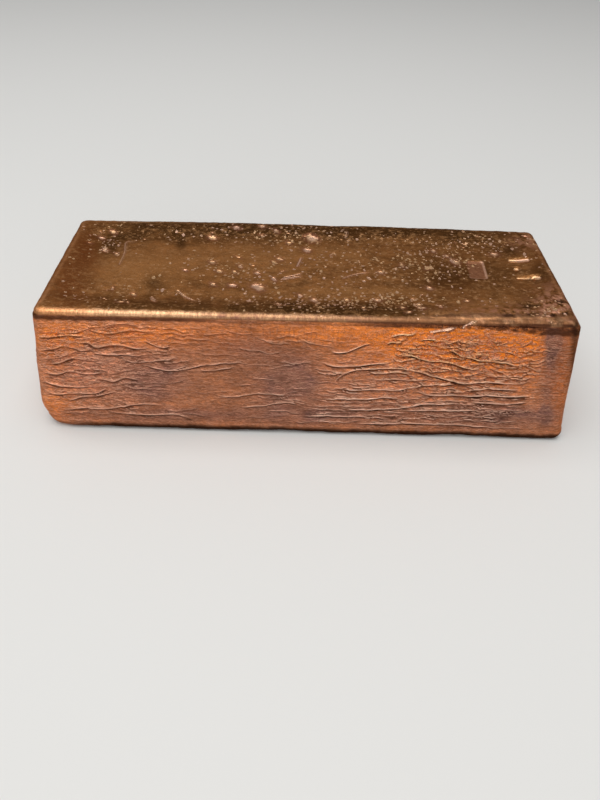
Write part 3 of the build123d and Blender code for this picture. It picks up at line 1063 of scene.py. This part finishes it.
        # Nearly black painted shade, with dark smudges
        colour = s.over(colour, "shade_and_smudges", s.span(s.cloud, 0.25, 0.55, 0.6, 1.0), NEAR_BLACK)
        colour = s.over(colour, "shelf", s.span(s.speckle, 0.35, 0.6, 1.0, 0.4), SHELF_TAN)
        dust = s.span(s.noise((2.0, 1.3, 1.3), 5, 0.7, shift=(9, 9, 9)), 0.5, 0.62, 0.0, 0.48)
        colour = s.mix(s.times(dust, s.span(s.cloud, 0.3, 0.6, 0.5, 1.0)), colour, DUST_TAN)
        grit = s.span(s.noise((1.0, 0.8, 0.8), 3, 0.6, shift=(5, 2, 7)), 0.56, 0.65, 0.0, 0.8)
        grit = s.times(grit, s.span(s.attribute("ruddy"), 0.0, 0.7, 1.0, 0.3))
        colour = s.mix(s.times(grit, s.span(s.noise((6, 4, 4), 3), 0.4, 0.6, 0.25, 1.0)), colour, GRIT_GOLD)
        colour = s.mix(s.times(s.along_line("mark", 0.0, 2.6), 0.5), colour, MARK_BROWN)
        colour = s.mix(s.span(s.speckle, 0.5, 0.68, 0.0, 0.55), colour, SPECK_BROWN)
        patch = s.noise((2.2, 2.2, 2.2), 4, 0.65)
        colour = s.over(colour, "mottled", s.span(patch, 0.45, 0.58), MOTTLE_PINK)
        colour = s.over(colour, "mottled", s.span(patch, 0.46, 0.36), MOTTLE_BLACK)
        punch = s.attribute("punch")
        punched = s.mix(s.span(s.speckle, 0.4, 0.6), PUNCH_PALE, PUNCH_DARK)
        colour = s.mix(s.span(punch, 0.42, 0.58, 0.0, 0.8), colour, punched)
        # Painted highlight on the punch's right and front edges
        brink = s.span(s.math("ABSOLUTE", s.math("SUBTRACT", punch, 0.55)), 0.05, 0.2, 1.0, 0.0)
        return s.mix(s.times(s.times(brink, s.attribute("punch_lit")), 0.8), colour, BRINK_HIGHLIGHT)

    def rim_colour(self):
        """Metal rubbed bright and carrying a painted highlight, streaked across the rim, and browner where it
        is less rubbed and less highlit.
        """
        s = self
        across = s.times(s.span(s.noise((0.45, 1.6, 1.6), 4, 0.7), 0.4, 0.62, 1.0, 0.55),
                         s.span(s.noise((6, 6, 6), 3, 0.6, shift=(20, 0, 0)), 0.4, 0.65, 1.0, 0.8))
        gold = s.mix(s.attribute("amber"), GOLD, AMBER)
        colour = s.mix(s.times(s.attribute("wear_and_highlight"), across), RIM_BROWN, gold)
        chew = s.span(s.noise((1.1, 2.2, 2.2), 4, 0.7, shift=(3, 0, 0)), 0.47, 0.58)
        colour = s.mix(s.times(s.times(chew, s.attribute("chewed")), 0.85), colour, CHEWED_BROWN)
        rusty = s.noise((3, 2.2, 2.2), 5, 0.7)
        colour = s.over(colour, "mottled", s.span(rusty, 0.48, 0.6), RUST)
        return s.over(colour, "mottled", s.span(rusty, 0.44, 0.34), RUST_BLACK)

    def build(self):
        s = self
        patina = s.attribute("patina")
        on_wall = s.math("SUBTRACT", 1.0, patina)
        # Thin wandering lines on the walls, painted as highlights with painted shade just under them, and
        # raised in the bump
        lines = s.math("MAXIMUM", s.line_field((6, 6, 1.1), 0.035), s.line_field((3.2, 3.2, 0.6), 0.05))
        under = s.math("MAXIMUM", s.line_field((6, 6, 1.1), 0.035, (0, 0, 0.33)),
                       s.line_field((3.2, 3.2, 0.6), 0.05, (0, 0, 0.25)))
        pit = s.math("MAXIMUM", s.pits((1.5, 1.1, 1), 0.5, 1.1), s.pits((1.6, 2.6, 1), -0.4, 0.8))
        pit = s.math("MAXIMUM", s.times(pit, patina), s.along_line("mark", 0.0, 1.3))
        pit = s.math("MAXIMUM", pit, s.span(s.attribute("stroke"), 0.45, 0.65, 0.0, 0.95))

        colour = s.mix(patina, s.wall_colour(lines, under), s.upper_colour())
        # The rim: rubbed metal with a painted highlight
        colour = s.mix(s.attribute("rubbed_and_highlit"), colour, s.rim_colour())
        # Painted highlight along the rim's crest
        crest_highlight_share = s.span(s.noise((3, 3, 3), 4, 0.65, shift=(0, 0, 4)), 0.36, 0.56, 0.2, 0.9)
        colour = s.over(colour, "crest_highlight", crest_highlight_share, CREST_HIGHLIGHT_TONE)
        # Painted shade in a band under the rim
        colour = s.over(colour, "under_rim_shade", 0.9, UNDER_RIM_SHADE_BROWN)
        # Painted shade at the foot and in the rim's cavities, and dark pocks
        colour = s.over(colour, "shade_and_pocks", 0.95, SHADE_BLACK)
        # Bright bare metal in pits, scratches, scrapes and strokes, lightened to stand in for their glints:
        # partly painted highlight
        pit_metal_and_glint = s.mix(s.span(s.cloud, 0.4, 0.6), PIT_GOLD, PIT_PINK)
        colour = s.mix(s.times(pit, 0.95), colour, pit_metal_and_glint)

        rough = s.math("ADD", s.span(s.speckle, 0.3, 0.7, 0.32, 0.48), s.times(s.attribute("shade_and_pocks"), 0.3))
        rough = s.math("SUBTRACT", rough, s.times(s.times(s.attribute("glow"), on_wall), 0.14))
        rough = s.math("SUBTRACT", rough, s.times(pit, 0.08))
        skin = s.bump(s.noise((1.3, 1.3, 0.6), 4, 0.6), 0.4, 0.00025)
        raised = s.math("SUBTRACT", s.along_line("fold", 0.1, 1.2), s.along_line("fold", -1.6, 1.2))
        skin = s.bump(s.times(s.math("ADD", s.times(lines, 0.5), raised), on_wall), 0.9, 0.00034, skin)
        hammered = s.times(s.noise((1.7, 1.7, 1.1), 4, 0.65, shift=(7, 1, 3)), s.attribute("glow"))
        skin = s.bump(s.times(hammered, on_wall), 0.8, 0.0006, skin)
        skin = s.bump(s.math("SUBTRACT", 1.0, pit), 0.8, 0.0002, skin)
        skin = s.bump(s.speckle, 0.4, 0.00025, skin)
        s.fill(s.main, {"Base Color": colour, "Roughness": rough, "Metallic": 1.0,
                        "Specular Tint": GRAZING_TINT, "Normal": skin})
        return s.material


ingot = cast_bar()
ingot.data.materials.append(CastCopper().build())
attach(ingot, "root")
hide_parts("ingot")


# Floor, light and camera, with lamps in metres and watts
FLOOR_COLOUR = (0.74, 0.735, 0.71, 1)
ROOM_COLOUR = (0.32, 0.32, 0.325, 1)
SENSOR = 36.0


def pale_floor():
    """A plain pale floor under the bar."""
    s = Shader("pale_floor")
    s.fill(s.main, {"Base Color": FLOOR_COLOUR, "Roughness": 0.85})
    bpy.ops.mesh.primitive_plane_add(size=6)
    floor = bpy.context.object
    floor.name = "floor"
    floor.data.materials.append(s.material)


def softbox(name, at, aim, size, power):
    """A rectangular lamp that faces the bar."""
    lamp = bpy.data.lights.new(name, "AREA")
    lamp.shape = "RECTANGLE"
    lamp.size, lamp.size_y = size
    lamp.energy = power
    holder = bpy.data.objects.new(name, lamp)
    bpy.context.scene.collection.objects.link(holder)
    away = np.array(at, float) - np.array(aim, float)
    away /= np.linalg.norm(away)
    across = np.cross((0, 1, 0), away)
    across /= np.linalg.norm(across)
    turn = Matrix(np.column_stack([across, np.cross(away, across), away]).tolist()).to_4x4()
    turn.translation = at
    holder.matrix_world = turn


pale_floor()
softbox("overhead", (-0.12, -0.10, 0.8), (0, -0.1, 0), (0.9, 0.8), 5.5)
softbox("front", (0.05, -0.95, 0.42), (0, 0, 0.02), (1.3, 0.5), 3.1)
world = bpy.data.worlds.new("studio")
world.use_nodes = True
world.node_tree.nodes["Background"].inputs["Color"].default_value = ROOM_COLOUR
bpy.context.scene.world = world

lens = bpy.data.cameras.new("camera")
lens.sensor_width = SENSOR
lens.lens = SENSOR * FOCAL / max(FRAME_SIZE)
lens.clip_start = 0.01
camera = bpy.data.objects.new("camera", lens)
bpy.context.scene.collection.objects.link(camera)
view = Matrix(np.column_stack([RIGHT, UP, -FORWARD]).tolist()).to_4x4()
view.translation = (CAMERA_AT / 1000).tolist()
camera.matrix_world = view
bpy.context.scene.camera = camera
bpy.context.scene.view_settings.view_transform = "Standard"
